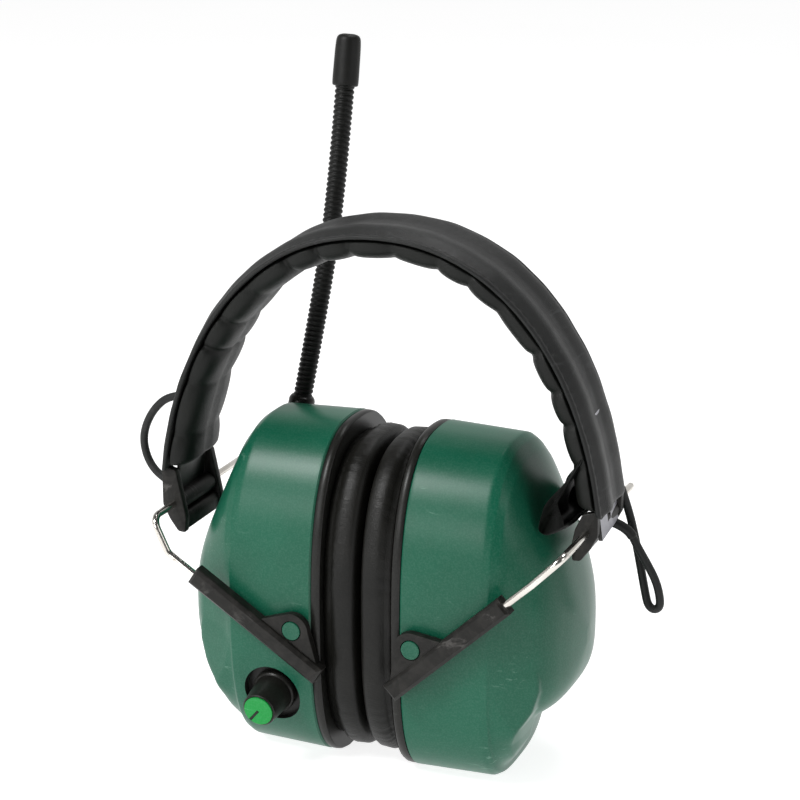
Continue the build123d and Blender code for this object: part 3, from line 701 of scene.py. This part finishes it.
knobAxis = np.array((0.0, -math.cos(math.radians(knob["tilt"])), -math.sin(math.radians(knob["tilt"]))))

for side, sign in sides.items():
    shell = shellBody(f"{side}Shell", sign)
    if side == "left":
        # the knob sits in a black well sunk into the wall
        radius, wall = knob["recess"], knob["recess"] + knob["wellWall"]
        profile = [(-0.003, 0), (-0.003, wall), (0.0004, wall), (0.0004, 0)]
        well = turned(profile, knob["place"], knobAxis, 128)
        cutBy(shell, gridPiece("well", well, looks["green_shell"]), "UNION")
        profile = [(0, 0), (0, radius - 0.0003), (0.0003, radius), (0.02, radius), (0.02, 0)]
        hollow = turned(profile, knob["place"], knobAxis, 128)
        cutBy(shell, gridPiece("hollow", hollow, looks["black_plastic"]), "DIFFERENCE")
    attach(shell, f"{side}_cup")
    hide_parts(f"{side}_shell")
    for place, out in (("Front", -1), ("Rear", 1)):
        radius, face = cup["pinRadius"], cup["pinFace"]
        profile = [(0.030, 0), (0.030, radius), (face - 0.0003, radius), (face - 0.00008, radius - 0.0001),
                   (face, radius - 0.0004), (face - 0.0001, radius - 0.0008), (face - 0.0001, 0)]
        spun = turned(profile, (sign * cup["pinX"], 0.0, cup["pinZ"]), (0.0, out, 0.0), 64)
        pin = gridPiece(f"{side}{place}Pin", spun, looks["green_shell"], 40)
        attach(pin, f"{side}_cup")
say("shells made")


# cushions

def cushionSurface(sign):
    # the section is carried round the ear opening as a superellipse; the creases are a sum of sines of the
    # turn, deepest where the skin turns tightest, and the seam is a narrow groove near the back plate
    section = rounded(cushion["section"], cushion["columns"])
    turn = np.arange(cushion["rows"]) / cushion["rows"] * 2 * np.pi
    bend = 2 / np.where(np.sin(turn) < 0, cushion["lowPower"], cushion["power"])
    c, s = power(np.cos(turn), bend), power(np.sin(turn), bend) * np.where(np.sin(turn) < 0, 1.025, 1.0)
    share, away = section[:, 1][None], section[:, 0][None]
    y = (cushion["inner"][0] + (cushion["outer"][0] - cushion["inner"][0]) * share) * c[:, None]
    z = (cushion["inner"][1] + (cushion["outer"][1] - cushion["inner"][1]) * share) * s[:, None]
    phase = rng.uniform(0, 2 * np.pi, cushion["waves"])
    count = rng.integers(18, 90, cushion["waves"])
    waves = np.sin(turn[:, None] * count + phase).sum(axis=1) / 5
    tight = np.exp(-((share - 0.08) / 0.16) ** 2)
    tight = tight + 0.5 * np.exp(-((share - 0.93) / 0.07) ** 2) * (away > 0.006)
    fold = cushion["creases"] * np.minimum(waves[:, None], 0.6) * tight * (away < 0.0105)
    seam = cushion["seamDeep"] * np.exp(-((away - cushion["seamAt"]) / 0.00035) ** 2) * (share > 0.5)
    grown = 1 + (fold - seam) / np.hypot(y, z)
    y, z = y * grown, z * grown
    x = np.broadcast_to(sign * away, y.shape)
    return np.stack([x, y, cushion["centreZ"] + z], -1)


for side, sign in sides.items():
    pad = gridPiece(f"{side}Cushion", cushionSurface(sign), looks["cushion_skin"], aroundRows=True,
                    size=(0.055, 0.27))
    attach(pad, f"{side}_cup")
    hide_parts(f"{side}_cushion")
say("cushions made")


# back plates: the black rim between shell and cushion, with the opening for the ear

def rimSurface(sign):
    # the section of x and distance from the opening is carried round as a superellipse, its distance
    # stretched to reach the cup's rim all the way round
    low, high, depth = cup["stations"][0][1:]
    section = rounded(filleted(cup["rimSection"], 0.0006), 60)
    turn = np.arange(240) / 240 * 2 * np.pi
    bend = 2 / np.where(np.sin(turn) < 0, cup["lowPower"], cup["power"])
    c, s = power(np.cos(turn), bend)[:, None], power(np.sin(turn), bend)[:, None]
    share = section[:, 1][None] / cup["rimWidth"]
    deep, tall = cushion["inner"]
    y = (deep + (depth - 0.0001 - deep) * share) * c
    z = (low + high) / 2 + (tall + ((high - low) / 2 - 0.0001 - tall) * share) * s
    x = np.broadcast_to(sign * section[:, 0][None], y.shape)
    return np.stack([x, y, np.maximum(z, 0.0)], -1)


for side, sign in sides.items():
    ring = gridPiece(f"{side}BackPlate", rimSurface(sign), looks["black_plastic"], 40, aroundRows=True,
                     size=(0.04, 0.28))
    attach(ring, f"{side}_cup")
    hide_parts(f"{side}_back_plate")
say("back plates made")


# headband

def turnWithBand(points):
    # the headband stands turned a little about the right hinge
    points = np.asarray(points, dtype=float)
    angle, away = math.radians(band["turn"]), points[..., 0] - band["turnAbout"]
    x = band["turnAbout"] + away * math.cos(angle) - points[..., 1] * math.sin(angle)
    return np.stack([x, away * math.sin(angle) + points[..., 1] * math.cos(angle), points[..., 2]], -1)


def bandLine(endZ):
    # the outer face as a superellipse arc from the left end over the crown to the right end, with its
    # inward normals
    start = (endZ - band["springZ"]) / band["rise"]
    first = math.atan2(start ** (band["power"] / 2), (1 - start ** band["power"]) ** 0.5)
    turn = np.linspace(math.pi - first, first, 4000)
    line = np.stack([band["halfSpan"] * power(np.cos(turn), 2 / band["power"]),
                     band["springZ"] + band["rise"] * power(np.sin(turn), 2 / band["power"])], -1)
    line = evenly(line, band["rows"])
    tangent = unit(np.gradient(line, axis=0))
    inward = np.stack([tangent[:, 1], -tangent[:, 0]], -1)
    length = np.linalg.norm(np.diff(line, axis=0), axis=1).sum()
    return line, inward, length


def alongBand(line, inward, across, deep):
    x = line[:, :1] + inward[:, :1] * deep
    z = line[:, 1:] + inward[:, 1:] * deep
    return turnWithBand(np.stack([x, np.broadcast_to(across, x.shape), z], -1))


def blunted(along, length, radius):
    # 1 along the piece, falling as a quarter circle over radius at both ends
    edge = np.clip(np.minimum(along, length - along) / radius, 0.0, 1.0)
    return np.sqrt(1 - (1 - edge) ** 2)


def coverSurface():
    # the section is carried along the arc, drawn in towards its middle at both ends as a quarter circle,
    # with stitch dimples and a slow ripple made of sines added to its depth
    line, inward, length = bandLine(band["endZ"])
    half = np.array(band["cover"])
    loop = np.vstack([half, (half * (-1, 1))[::-1][1:-1]])
    section = rounded(loop, 132)
    along = np.linspace(0, length, band["rows"])[:, None]
    blunt = blunted(along, length, band["coverRound"])
    across = section[:, 0][None] * (1 - band["coverRound"] / band["coverHalf"] * (1 - blunt))
    deep = band["coverMiddle"] + (section[:, 1][None] - band["coverMiddle"]) * (0.12 + 0.88 * blunt)
    outside = section[:, 1][None] < 0.0026
    # a dimple for each stitch in a shallow channel near both edges
    channel = np.exp(-((np.abs(section[:, 0][None]) - band["stitchAt"]) / 0.0004) ** 2) * outside
    dimple = 0.6 + 0.4 * np.cos(along / band["stitch"] * 2 * np.pi)
    ripple = (np.sin(along * 290 + 1.3) + np.sin(along * 171 + 0.4) + np.sin(along * 523)) * 0.00005
    deep = deep + band["stitchDeep"] * channel * dimple + ripple * outside
    return alongBand(line, inward, across, deep), length


def padSurface():
    # a superellipse section with a flat back; its width and thickness shrink at each seam between lobes by
    # the sum of a narrow and a wide bell curve, and a shallow groove runs along its middle
    line, inward, length = bandLine(band["padEnd"])
    turn = np.arange(120) / 120 * 2 * np.pi
    along = np.linspace(0, length, band["rows"])[:, None]
    lobes = round(length / band["lobe"])
    place = along / length * lobes
    place = place + 0.14 * np.sin(place * 1.7 + 0.5) + 0.10 * np.sin(place * 0.63 + 2.0)
    seam = np.rint(place)
    away = np.abs(place - seam) * band["lobe"]
    # each seam is a soft valley with a pinch of its own strength at its edge
    strength = rng.uniform(0.15, 1.0, lobes + 3)[np.clip(seam, 0, lobes + 2).astype(int)]
    pinch = 0.55 * strength * np.exp(-(away / 0.0012) ** 2) + 0.45 * np.exp(-(away / 0.0034) ** 2)
    blunt = blunted(along, length, 0.0025)
    halfWidth = (band["padHalfWidth"] - band["lobeIn"] * pinch) * (0.93 + 0.07 * blunt)
    c, s = power(np.cos(turn), 2 / 3.6)[None], power(np.sin(turn), 2 / 2.6)[None]
    across = halfWidth * c
    edge = 0.22 + 0.78 * c ** 2
    thick = (band["padThick"] - band["lobeDeep"] * pinch * edge) * (0.3 + 0.7 * blunt)
    back = band["padBack"]
    deep = band["padStart"] + back + np.where(s > 0, thick - back, back) * s
    middle = 0.0004 * np.exp(-(across / 0.0015) ** 2) * (s > 0)
    return alongBand(line, inward, across, deep - middle), length


def flapSurface():
    # a thin skin: the line with its offset as the other face, rounded at both ends, flared towards the front
    # and rear edges by a power of the distance across, and rippled by a sine
    line = rounded(flap["line"], 90, False)
    tangent = unit(np.gradient(line, axis=0))
    normal = np.stack([tangent[:, 1], -tangent[:, 0]], -1)
    half = flap["thick"] / 2
    cap = np.linspace(0, np.pi, 9)[1:-1]
    ends = [line[-1] + half * (np.cos(cap)[:, None] * normal[-1] + np.sin(cap)[:, None] * tangent[-1]),
            line[0] - half * (np.cos(cap)[:, None] * normal[0] + np.sin(cap)[:, None] * tangent[0])]
    loop = np.vstack([line + half * normal, ends[0], (line - half * normal)[::-1], ends[1]])
    across = np.linspace(-1, 1, 61)
    low = eased((flap["looseBelow"] - loop[:, 1]) / flap["looseOver"])
    flare = flap["flare"] * np.abs(across[:, None]) ** 2.2 * low[None]
    ripple = 0.0004 * np.sin(across[:, None] * 7 + loop[None, :, 1] * 500) * low[None]
    edge = np.maximum(np.abs(across) - 0.975, 0) / 0.025
    thin = np.sqrt(np.clip(1 - edge ** 2, 0.02, 1))[:, None]
    middle = np.vstack([line, ends[0] * 0 + line[-1], line[::-1], ends[1] * 0 + line[0]])
    x = middle[None, :, 0] + (loop[:, 0] - middle[:, 0])[None] * thin - flare + ripple
    z = middle[None, :, 1] + (loop[:, 1] - middle[:, 1])[None] * thin - 0.25 * flare
    y = np.broadcast_to((across * flap["halfWidth"])[:, None], x.shape)
    return turnWithBand(np.stack([x, y, z], -1))


coverPoints, bandLength = coverSurface()
cover = gridPiece("headbandCover", coverPoints, looks["band_vinyl"], size=(0.07, bandLength))
padPoints, padLength = padSurface()
quilt = gridPiece("headbandPad", padPoints, looks["pad_fabric"], size=(0.065, padLength))
bendEnds = [tuple(map(float, point)) for point in turnWithBand([(-0.04, 0.0, 0.17), (0.04, 0.0, 0.17)])]
for piece, slotName, stem in ((cover, "band_vinyl", "band_cover"), (quilt, "pad_fabric", "headband_pad")):
    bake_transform(piece)
    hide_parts(f"{stem}_left", f"{stem}_right")
loose = gridPiece("rightPadFlap", flapSurface(), looks["pad_fabric"], size=(0.06, 0.031))
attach(loose, "band_right")
say("headband made")


# antenna

centre = evenly(splinePoints(antenna["route"], 60), 900)
travelled = np.linspace(0, np.linalg.norm(np.diff(centre, axis=0), axis=1).sum(), len(centre))
# rings: the radius dips in a narrow groove once per rib
groove = np.exp(-((np.abs((travelled / antenna["rib"]) % 1 - 0.5) / 0.22) ** 2))
radius = antenna["radius"] - antenna["ribDeep"] * groove
whip = gridPiece("antennaWhip", tube(centre, radius, 28, (1.0, 0.0, 0.0)), looks["antenna_rubber"])
endWay, startWay = unit(centre[-1] - centre[-4]), unit(centre[3] - centre[0])
tipPoints = turned(rounded(antenna["tip"], 60, False), centre[-1] - endWay * antenna["tipBack"], endWay)
tip = gridPiece("antennaTip", tipPoints, looks["antenna_rubber"], 50)
collarPoints = turned(antenna["collar"], centre[0], startWay)
collar = gridPiece("antennaCollar", collarPoints, looks["black_plastic"], 35)
for piece, node, slotName in ((whip, "antenna_whip", "antenna_rubber"),
                              (tip, "antenna_tip", "antenna_rubber"),
                              (collar, "antenna_collar", "black_plastic")):
    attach(piece, "left_cup")
    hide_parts(node)
say("antenna made")


# knob

knobPoints = turned(knob["profile"], knob["place"], knobAxis, 120)
knobBody = gridPiece("knobBody", knobPoints, looks["black_plastic"], 40)
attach(knobBody, "volume_knob")
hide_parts("volume_knob")
# a dark bar of the knob's own moulding shows through the slot in its cap
capFace = np.array(knob["place"]) + knobAxis * knob["capFace"]
upAxis = np.array((0.0, -knobAxis[2], knobAxis[1]))
turn = math.radians(knob["pointerTurn"])
pointerWay = math.cos(turn) * np.array((1.0, 0.0, 0.0)) - math.sin(turn) * upAxis
corners = rounded([(-1, -1), (0, -1), (1, -1), (1, 0), (1, 1), (0, 1), (-1, 1), (-1, 0)], 24)
corners = corners * knob["pointerHalf"]
stops = np.linspace(*knob["pointer"], 24)
size = blunted(stops - stops[0], stops[-1] - stops[0], 0.0003)[:, None, None]
bar = capFace + pointerWay * stops[:, None, None]
bar = bar + size * corners[None, :, :1] * np.cross(knobAxis, pointerWay)
bar = bar + size * corners[None, :, 1:] * knobAxis
pointer = gridPiece("knobPointer", bar, looks["black_plastic"])
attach(pointer, "volume_knob")
say("knob made")


# moulded parts that keep their CAD shape but get rounded edges

def roundedCopy(node, width):
    mesh = nodes[node].data.copy()
    mesh.name = node + "Rounded"
    work = bmesh.new()
    work.from_mesh(mesh)
    bmesh.ops.remove_doubles(work, verts=work.verts, dist=0.00001)
    bmesh.ops.dissolve_limit(work, angle_limit=math.radians(1.0), verts=work.verts, edges=work.edges)
    work.to_mesh(mesh)
    work.free()
    mesh.materials.clear()
    thing = bpy.data.objects.new(node + "Rounded", mesh)
    bpy.context.scene.collection.objects.link(thing)
    soften = thing.modifiers.new("round", "BEVEL")
    soften.width, soften.segments, soften.limit_method = width, 3, "ANGLE"
    soften.angle_limit = math.radians(28)
    soften.use_clamp_overlap = True
    graph = bpy.context.evaluated_depsgraph_get()
    result = bpy.data.meshes.new_from_object(thing.evaluated_get(graph))
    thing.modifiers.remove(soften)
    thing.data = result
    bpy.data.meshes.remove(mesh)
    result.shade_smooth()
    result.set_sharp_from_angle(angle=math.radians(34))
    result.materials.append(looks["arm_plastic"])
    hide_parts(node)
    return thing


for side in sides:
    for place in ("front", "rear"):
        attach(roundedCopy(f"{side}_{place}_arm", 0.0004), f"{side}_yoke")
say("arms made")


# end brackets and slide plates

def slidePlate(side, sign):
    # the plate leans with the end of the headband; rounded rectangles are carried along the lean
    lean, yaw = math.radians(plate["lean"]), math.radians(band["turn"])
    inward = -sign * math.sin(lean)
    along = np.array((inward * math.cos(yaw), inward * math.sin(yaw), math.cos(lean)))
    across = np.array((-math.sin(yaw), math.cos(yaw), 0.0))
    outward = sign * np.cross(across, along)
    start = turnWithBand([sign * plate["x"][side], 0.0, bracket["hingeZ"][side] + plate["lift"]])

    def bar(name, half, wide, low, high):
        outline = filleted([(-half, -wide), (half, -wide), (half, wide), (-half, wide)], plate["round"])
        stops = np.linspace(low, high, 24)[:, None, None]
        rings = outward * outline[None, :, :1] + across * outline[None, :, 1:]
        return gridPiece(name, start + along * stops + rings, looks["slide_metal"], 40)

    body = bar(f"{side}Plate", plate["thick"] / 2, plate["halfWidth"], -plate["down"], plate["up"])
    slot = bar(f"{side}Slot", plate["thick"] * 2, plate["slotHalf"], *plate["slot"][side])
    cutBy(body, slot, "DIFFERENCE")
    return body


for side, sign in sides.items():
    hingeZ, shiftY, top = bracket["hingeZ"][side], bracket["shiftY"][side], bracket["top"][side]
    place, lift = (sign, 1.0), (0.0, hingeZ)
    cheek = [(bracket["topIn"], top - bracket["topDrop"]), (bracket["topOut"], top)] + bracket["cheek"]
    cheek = filleted((np.array(cheek) + lift) * place, bracket["round"])
    web = filleted((np.array(bracket["web"]) + lift) * place, bracket["round"])
    front, rear = shiftY - bracket["halfWidth"], shiftY + bracket["halfWidth"]
    thick, edge, look = bracket["cheekThick"], bracket["edge"], looks["arm_plastic"]
    made = [slab(f"{side}FrontCheek", cheek, front, front + thick, edge, look),
            slab(f"{side}RearCheek", cheek, rear - thick, rear, edge, look),
            slab(f"{side}Web", web, front + 0.001, rear - 0.001, 0.0003, look)]
    reach = bracket["halfWidth"] - thick - 0.0002
    radius, bevel = bracket["barrel"], bracket["barrelEdge"]
    profile = [(-reach, 0.0), (-reach, radius - bevel), (bevel - reach, radius), (reach - bevel, radius),
               (reach, radius - bevel), (reach, 0.0)]
    spun = turned(profile, (sign * bracket["hingeX"], shiftY, hingeZ), (0.0, 1.0, 0.0), 64)
    made.append(gridPiece(f"{side}Barrel", spun, look, 35))
    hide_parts(f"{side}_end_bracket")
    for piece in made:
        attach(piece, f"{side}_slider")
    sliding = slidePlate(side, sign)
    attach(sliding, f"{side}_slider")
    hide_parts(f"{side}_slide_plate")
    # a soft boot carries the lead's end on into the bracket
    last = np.array(leads[side][-1])
    ahead = unit(last - leads[side][-2])
    points = [last - ahead * leads["bootBack"], last + ahead * leads["bootAhead"], leads["boot"][side]]
    way = evenly(splinePoints(points), 40)
    radius = np.maximum(leads["bootRadius"] * blunted(np.linspace(0, 1, 40), 1.0, 0.06), 1e-5)
    boot = gridPiece(f"{side}LeadBoot", tube(way, radius, 24), looks["lead_jacket"], 50)
    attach(boot, f"{side}_slider")
say("brackets and slide plates made")


# CAD pieces shown as they are, each with its slot's material

slots = {entry["node"]: entry["material_slot"] for entry in frame["record"]["subparts"]}
for name, thing in nodes.items():
    if not thing.material_slots:
        thing.data.materials.append(None)
    for place in thing.material_slots:
        place.link = "OBJECT"
        place.material = looks[slots[name]]
say("carried-over pieces painted")


# floor and light

floorPoints = np.array([[[-3.0, -3.0, 0.0], [3.0, -3.0, 0.0]], [[-3.0, 3.0, 0.0], [3.0, 3.0, 0.0]]])
floor = gridPiece("floor", floorPoints, paleFloor("floorPale"), aroundColumns=False)
if floor.data.polygons[0].normal.z < 0:
    floor.data.flip_normals()

# a white studio that is bright near the horizon and dim overhead and in front
world = bpy.data.worlds.new("studio")
world.use_nodes = True
tree = world.node_tree
sky = tree.nodes["Background"]
direction = tree.nodes.new("ShaderNodeTexCoord")
facing = tree.nodes.new("ShaderNodeVectorMath")
facing.operation = "DOT_PRODUCT"
facing.inputs[1].default_value = (0.12, -0.40, 0.91)
ramp = tree.nodes.new("ShaderNodeMapRange")
ramp.interpolation_type = "SMOOTHSTEP"
for socket, value in (("From Min", 0.0), ("From Max", 0.6), ("To Min", 0.75), ("To Max", 0.10)):
    ramp.inputs[socket].default_value = value
tree.links.new(direction.outputs["Generated"], facing.inputs[0])
tree.links.new(facing.outputs["Value"], ramp.inputs["Value"])
tree.links.new(ramp.outputs["Result"], sky.inputs["Strength"])
sky.inputs["Color"].default_value = (1.0, 1.0, 1.0, 1.0)
bpy.context.scene.world = world
bpy.context.scene.view_settings.view_transform = "Standard"


def softbox(name, place, target, size, power):
    lamp = bpy.data.lights.new(name, "AREA")
    lamp.shape, lamp.size, lamp.size_y, lamp.energy = "RECTANGLE", size[0], size[1], power
    thing = bpy.data.objects.new(name, lamp)
    thing.location = place
    thing.rotation_euler = (Vector(target) - Vector(place)).to_track_quat("-Z", "Y").to_euler()
    bpy.context.scene.collection.objects.link(thing)


softbox("key", (-0.45, -0.65, 0.9), (0.0, 0.0, 0.08), (0.35, 0.35), 9.0)
softbox("rightSide", (0.9, -0.2, 0.5), (0.03, 0.0, 0.08), (0.3, 0.5), 1.0)
softbox("front", (-0.40, -0.95, 0.36), (0.0, 0.0, 0.08), (0.8, 0.22), 3.0)
softbox("top", (0.1, 0.3, 1.0), (0.0, 0.0, 0.1), (0.5, 0.3), 4.0)
say("stage and light made")
